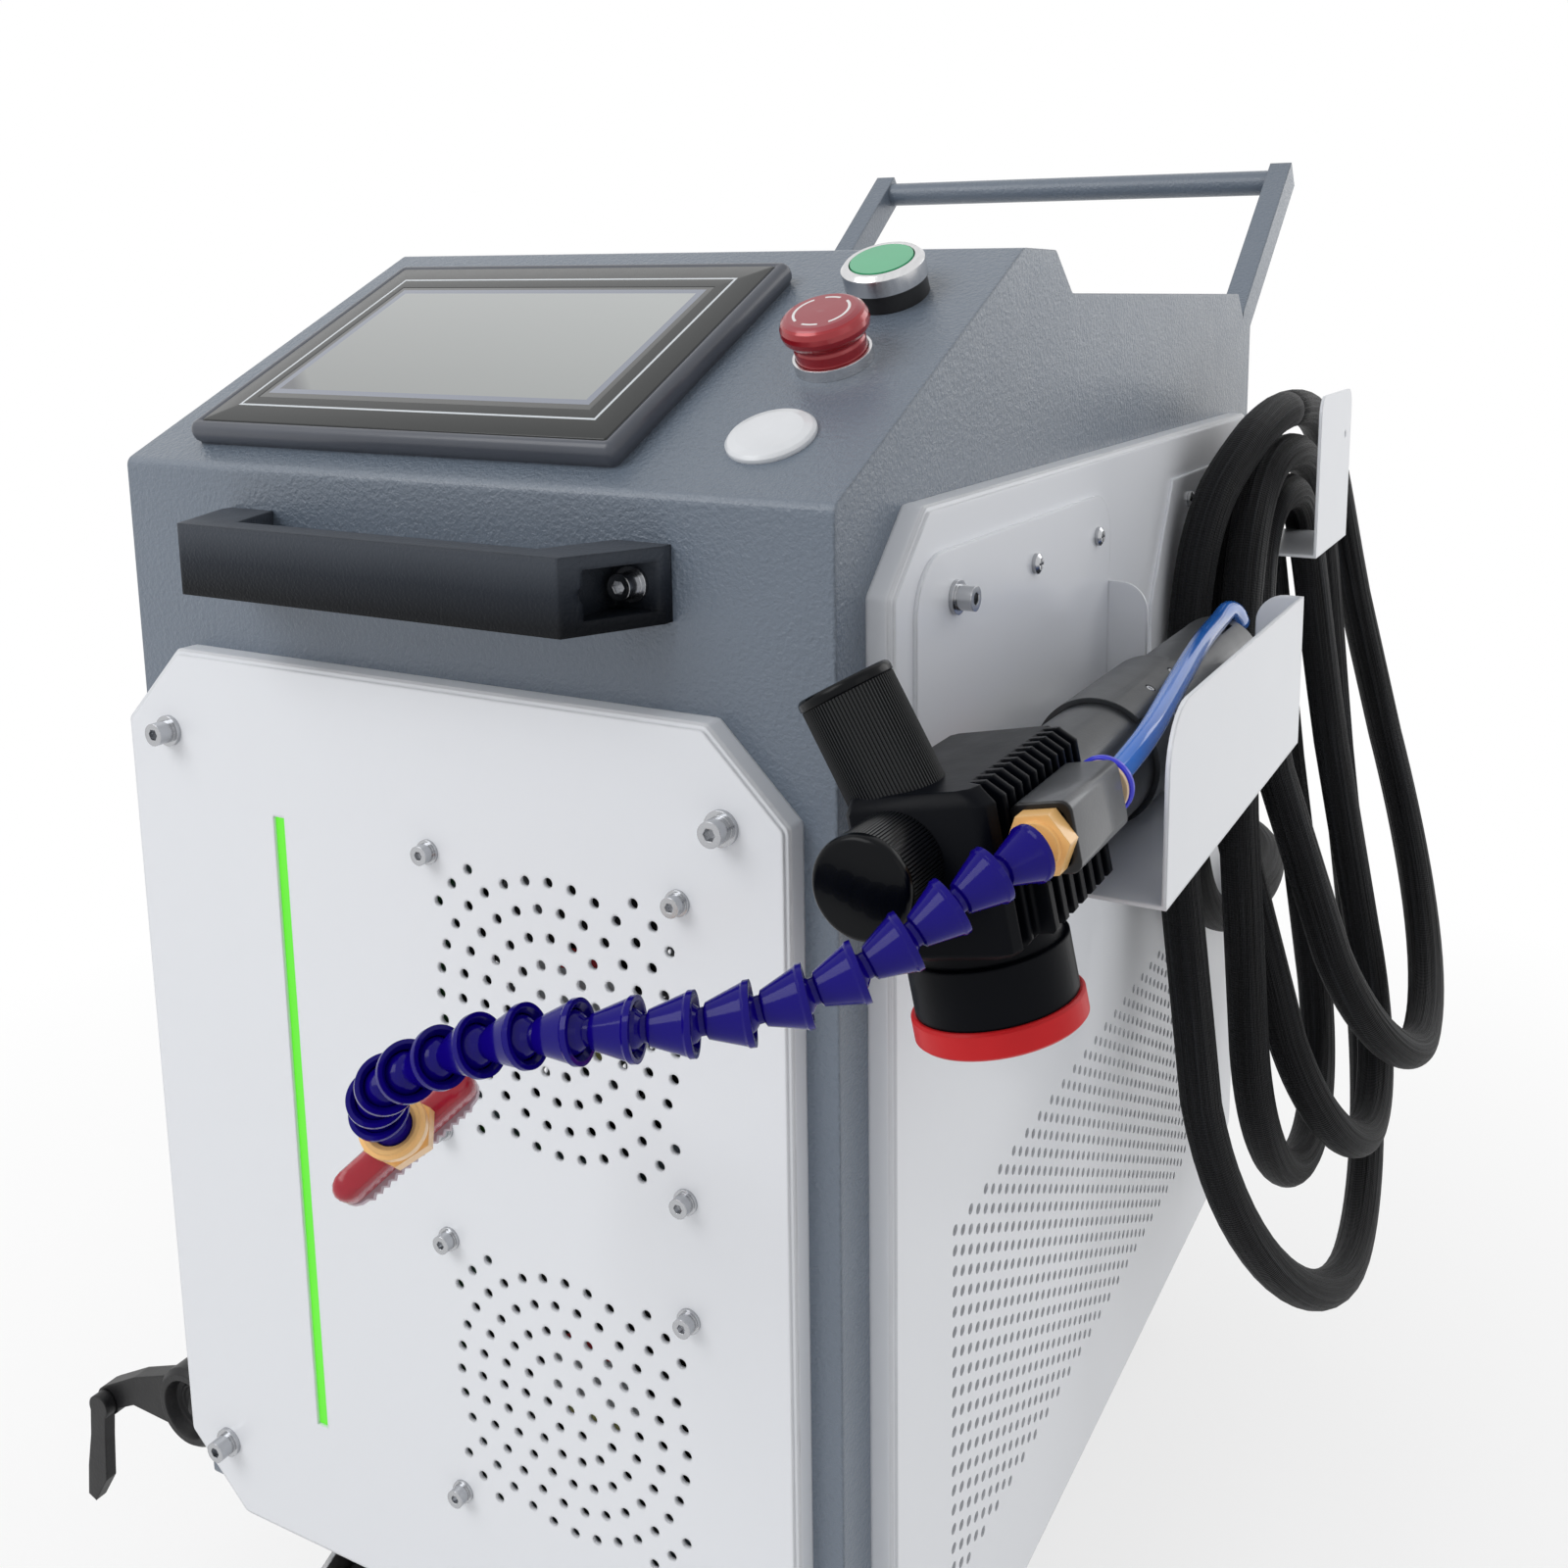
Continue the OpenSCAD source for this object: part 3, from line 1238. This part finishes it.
module castor_plates() {
    color([0.75, 0.76, 0.78])
    for (sx = [-1, 1], sy = [-1, 1]) translate([sx * castor_x, sy * castor_y, 0]) difference() {
        union() {
            translate([-plate_w / 2, -plate_l / 2, castor_h - castor_plate_t])
                cube([plate_w, plate_l, castor_plate_t]);
            if (sy < 0)
                translate([0, 0, castor_h - castor_plate_t - race_h]) cylinder(d = race_d, h = race_h);
        }
        if (sy < 0)
            translate([0, 0, castor_h - castor_plate_t - race_h - 1])
                cylinder(d = pin_d + 1, h = race_h + castor_plate_t - 1);
        for (x = [-1, 1], y = [-1, 1])
            translate([x * (plate_w / 2 - 8), y * (plate_l / 2 - 8), castor_h - 6]) cylinder(d = 7, h = 8);
    }
}
// A fork about its axle, which lies at the origin, with its crown's top at height top
module fork(top, ahead, behind) {
    for (s = [-1, 1])
        translate([s * (fork_w / 2 - leg_t / 2) - leg_t / 2, 0, 0]) rotate([90, 0, 90]) linear_extrude(leg_t)
            polygon([
                [-9, -6], [-3, -10], [3, -10], [9, -6], [ahead, top - 14], [ahead, top], [-behind, top],
                [-behind, top - 14]
            ]);
    translate([-fork_w / 2, -behind, top - crown_t]) cube([fork_w, behind + ahead, crown_t]);
    bar_x(axle_d, -fork_w / 2 - 3, fork_w / 2 + 3, 0, 0);
}
module rear_forks() {
    color([0.75, 0.76, 0.78])
    for (sx = [-1, 1]) translate([sx * castor_x, castor_y, axle_z])
        fork(castor_h - castor_plate_t - axle_z, 24, 24);
}
module front_fork(sx) {
    color([0.75, 0.76, 0.78])
    translate([sx * castor_x, -castor_y, 0]) {
        translate([0, -castor_trail, axle_z]) difference() {
            union() {
                fork(fork_top - 4 - axle_z, castor_trail + 18, 6);
                for (s = [-1, 1])
                    translate([s * (fork_w / 2 - leg_t / 2) - leg_t / 2, 0, 0]) rotate([90, 0, 90])
                        linear_extrude(leg_t) polygon([
                            [-4, 24], [-4, fork_top - 4 - axle_z], [-pedal_reach - 5, pedal_z - axle_z + 5],
                            [-pedal_reach - 5, pedal_z - axle_z - 5]]);
            }
            bar_x(pedal_pin + 2 * fit_gap, -fork_w, fork_w, -pedal_reach, pedal_z - axle_z);
        }
        translate([0, 0, fork_top - 4]) cylinder(d = race_d - 6, h = 4);
        translate([0, 0, fork_top - 1]) cylinder(d = pin_d, h = race_h + 2);
    }
}
module fork_left() front_fork(-1);
module fork_right() front_fork(1);
module wheel(x, y) {
    hub = axle_d / 2 + fit_gap;
    color([0.12, 0.12, 0.13])
    translate([x - wheel_w / 2, y, axle_z]) rotate([0, 90, 0]) rotate_extrude($fn = 96) polygon([
        [hub, 0], [14, 0], [14, 3], [wheel_d / 2 - 9, 3], [wheel_d / 2 - 8, 0], [wheel_d / 2 - 3, 0],
        [wheel_d / 2, 3], [wheel_d / 2, wheel_w - 3], [wheel_d / 2 - 3, wheel_w], [wheel_d / 2 - 8, wheel_w],
        [wheel_d / 2 - 9, wheel_w - 3], [14, wheel_w - 3], [14, wheel_w], [hub, wheel_w]
    ]);
}
module wheel_front_left() wheel(-castor_x, -castor_y - castor_trail);
module wheel_front_right() wheel(castor_x, -castor_y - castor_trail);
module wheel_rear_left() wheel(-castor_x, castor_y);
module wheel_rear_right() wheel(castor_x, castor_y);
module pedal(sx) {
    inner = fork_w / 2 - leg_t - rest_gap;
    color([0.65, 0.1, 0.1])
    translate([sx * castor_x, -castor_y - castor_trail - pedal_reach, pedal_z]) {
        bar_x(pedal_pin, -fork_w / 2, fork_w / 2, 0, 0);
        translate([-inner, 0, 0]) rotate([90, 0, 90]) linear_extrude(2 * inner)
            polygon([[2, 3.5], [-8, 6], [-30, 2], [-30, -1], [-8, 2], [-2, -3], [2, -3]]);
    }
}
module pedal_left() pedal(-1);
module pedal_right() pedal(1);

// Tops of the passes over the tongue, as x and z, from the first to the last
pass = [[184, 500], [199.5, 564.5], [177.2, 544], [199.5, 543], [199.5, 588]];
// Bottoms of the loops, as x, y and z
dip = [[259, 140, 124], [230, 148, 178], [264, 142, 203], [285, 172, 244]];
// Half widths of the loops towards the front and the rear
front_half = [140, 99, 74, 74];
rear_half = [114, 76, 76, 134];
loops = len(dip);
loop_rings = 24;
hank_sides = 6;
first_turn = 0.21;
function signed_pow(v, e) = sign(v) * pow(abs(v), e);
// A point on the hank's middle line, t turns from its start
function hank_point(t) =
    let (
        k = min(floor(t), loops - 1),
        a = 360 * (t - k),
        down = a <= 180,
        top = down ? pass[k] : pass[k + 1],
        half = down ? front_half[k] : rear_half[k],
        low = dip[k],
        knee = low[2] + half,
        z = cos(a) > 0 ? knee + (top[1] - knee) * pow(cos(a), 0.36) : knee + half * cos(a),
        u = max(0, (top[1] - z) / (top[1] - low[2])),
        g = pow(u, down ? (k == 0 ? 3 : 2) : 1.5),
        w = cos(a) > 0 ? signed_pow(sin(a), 0.76) : sin(a)
    )
    [top[0] + (low[0] - top[0]) * g, hanger_mid + (low[1] - hanger_mid) * g - half * w, z];
// The same route as rings for the tube
hank_route = [for (t = [first_turn, each [for (i = [6:loops * loop_rings]) i / loop_rings]]) hank_point(t)];

function unit(v) = v / norm(v);
// Directions at the points of a route
function route_dir(r) = [for (i = [0:len(r) - 1])
    i == 0 ? unit(r[1] - r[0]) : i == len(r) - 1 ? unit(r[i] - r[i - 1])
        : unit(unit(r[i] - r[i - 1]) + unit(r[i + 1] - r[i]))];
// Side vectors carried along a route without twist
function carry(t, i, v) =
    let (w = unit(v - t[i] * (v * t[i]))) i == len(t) - 1 ? [w] : concat([w], carry(t, i + 1, w));
// A faceted tube of diameter d along a route
module swept(r, d, sides, first = undef, last = undef) {
    raw = route_dir(r);
    end = len(r) - 1;
    t = [for (i = [0:end]) i == 0 && first != undef ? first : i == end && last != undef ? last : raw[i]];
    side = carry(t, 0, abs(t[0][0]) < 0.9 ? [1, 0, 0] : [0, 0, 1]);
    points = [for (i = [0:len(r) - 1], j = [0:sides - 1])
        let (b = cross(t[i], side[i]), a = 360 * j / sides)
        r[i] + d / 2 * (side[i] * cos(a) + b * sin(a))];
    n = len(r);
    faces = concat(
        [for (j = [1:sides - 2]) [0, j, j + 1]],
        [for (i = [0:n - 2], j = [0:sides - 1])
            [i * sides + j, (i + 1) * sides + j, i * sides + (j + 1) % sides]],
        [for (i = [0:n - 2], j = [0:sides - 1])
            [(i + 1) * sides + j, (i + 1) * sides + (j + 1) % sides, i * sides + (j + 1) % sides]],
        [for (j = [1:sides - 2]) [(n - 1) * sides, (n - 1) * sides + j + 1, (n - 1) * sides + j]]);
    polyhedron(points, faces);
}

// Points where the free hose runs from the gun to the hank, and from the hank to its gland
lead_route = [[gun_x, -14, gun_z], [gun_x, 2, gun_z], [gun_x, 14, gun_z], [205, 29, 484], [198, 40, 469],
    [191.5, 43, 447], [188, 37, 424]];
tail_route = [[197.5, 136, 585], [193, 104, 574], [184, 76, 548], [179, 62, 508], [177.5, 58, 440],
    [177.5, 68, 385], [177.5, 100, 335], [177.5, 155, 303], [177.5, 215, 288], [177, 265, 285],
    [168, 310, 285], [143, 348, 285], [103, 366, 285], [62, 354, 285], [36, 326, 285]];
gland_mouth = [gland_x, rear_y + rear_panel_t + 6, gland_z];
hank_start = hank_route[0];
hank_end = hank_route[len(hank_route) - 1];
hank_first_dir = unit(hank_point(first_turn + 0.01) - hank_point(first_turn));
hank_last_dir = [0, -1, 0];

module hose_lead() {
    color([0.1, 0.1, 0.1])
    swept(concat(lead_route, [hank_start]), hose_d, 10, last = hank_first_dir);
}
module hose_hank() {
    color([0.1, 0.1, 0.1])
    swept(hank_route, hose_d, hank_sides, first = hank_first_dir, last = hank_last_dir);
}
module hose_tail() {
    color([0.1, 0.1, 0.1])
    swept(concat([hank_end], tail_route, [gland_mouth + [0, 40, 0], gland_mouth]), hose_d, 10,
        first = hank_last_dir);
}
tube_start = [gun_x + air_x * cos(gun_roll) - air_z * sin(gun_roll), air_y0 + air_l - 8,
    gun_z + air_x * sin(gun_roll) + air_z * cos(gun_roll)];
air_route = [tube_start, tube_start + [0, 20, 0], [236, -200, 511], [229, -140, 514], [221, -80, 514],
    [215, -30, 512], [213, -5, 512], [213, 10, 508], [212, 24, 501]];
module air_tube() {
    color([0.15, 0.4, 0.85])
    swept(air_route, air_tube_d, 10);
}

// Prints the least gap between passes of the hank, measured on points along its middle line
fine = [for (i = [round(first_turn * 96):loops * 96]) hank_point(i / 96)];
apart = 14;
least = min([for (i = [0:len(fine) - 1], j = [i + apart:1:len(fine) - 1]) norm(fine[i] - fine[j])]) - hose_d;
echo(hank_gap = least);

cabinet_shell();
front_panel();
socket_bolts();
fan_bolts();
light_strip();
fan_frames();
upper_fan_rotor();
lower_fan_rotor();
front_handle();
hmi_bezel();
hmi_screen();
estop_collar();
estop_stem();
estop_head();
start_collar();
start_cap();
hole_plug();
side_panels();
rear_panel();
power_inlet();
power_rocker();
gas_inlet();
hose_gland();
push_handle();
gun_holder();
hose_hanger();
bracket_screws();
laser_source();
side_port();
side_port_lever();
galvo_housing();
galvo_motors();
lens_barrel();
lens_ring();
lens_glass();
gun_tube();
tube_collar();
hose_connector();
trigger();
air_block();
push_in_ring();
air_nut();
coolant_hose_a();
coolant_hose_b();
nozzle_nut();
flat_nozzle();
castor_plates();
rear_forks();
fork_left();
fork_right();
wheel_front_left();
wheel_front_right();
wheel_rear_left();
wheel_rear_right();
pedal_left();
pedal_right();
hose_lead();
hose_hank();
hose_tail();
air_tube();
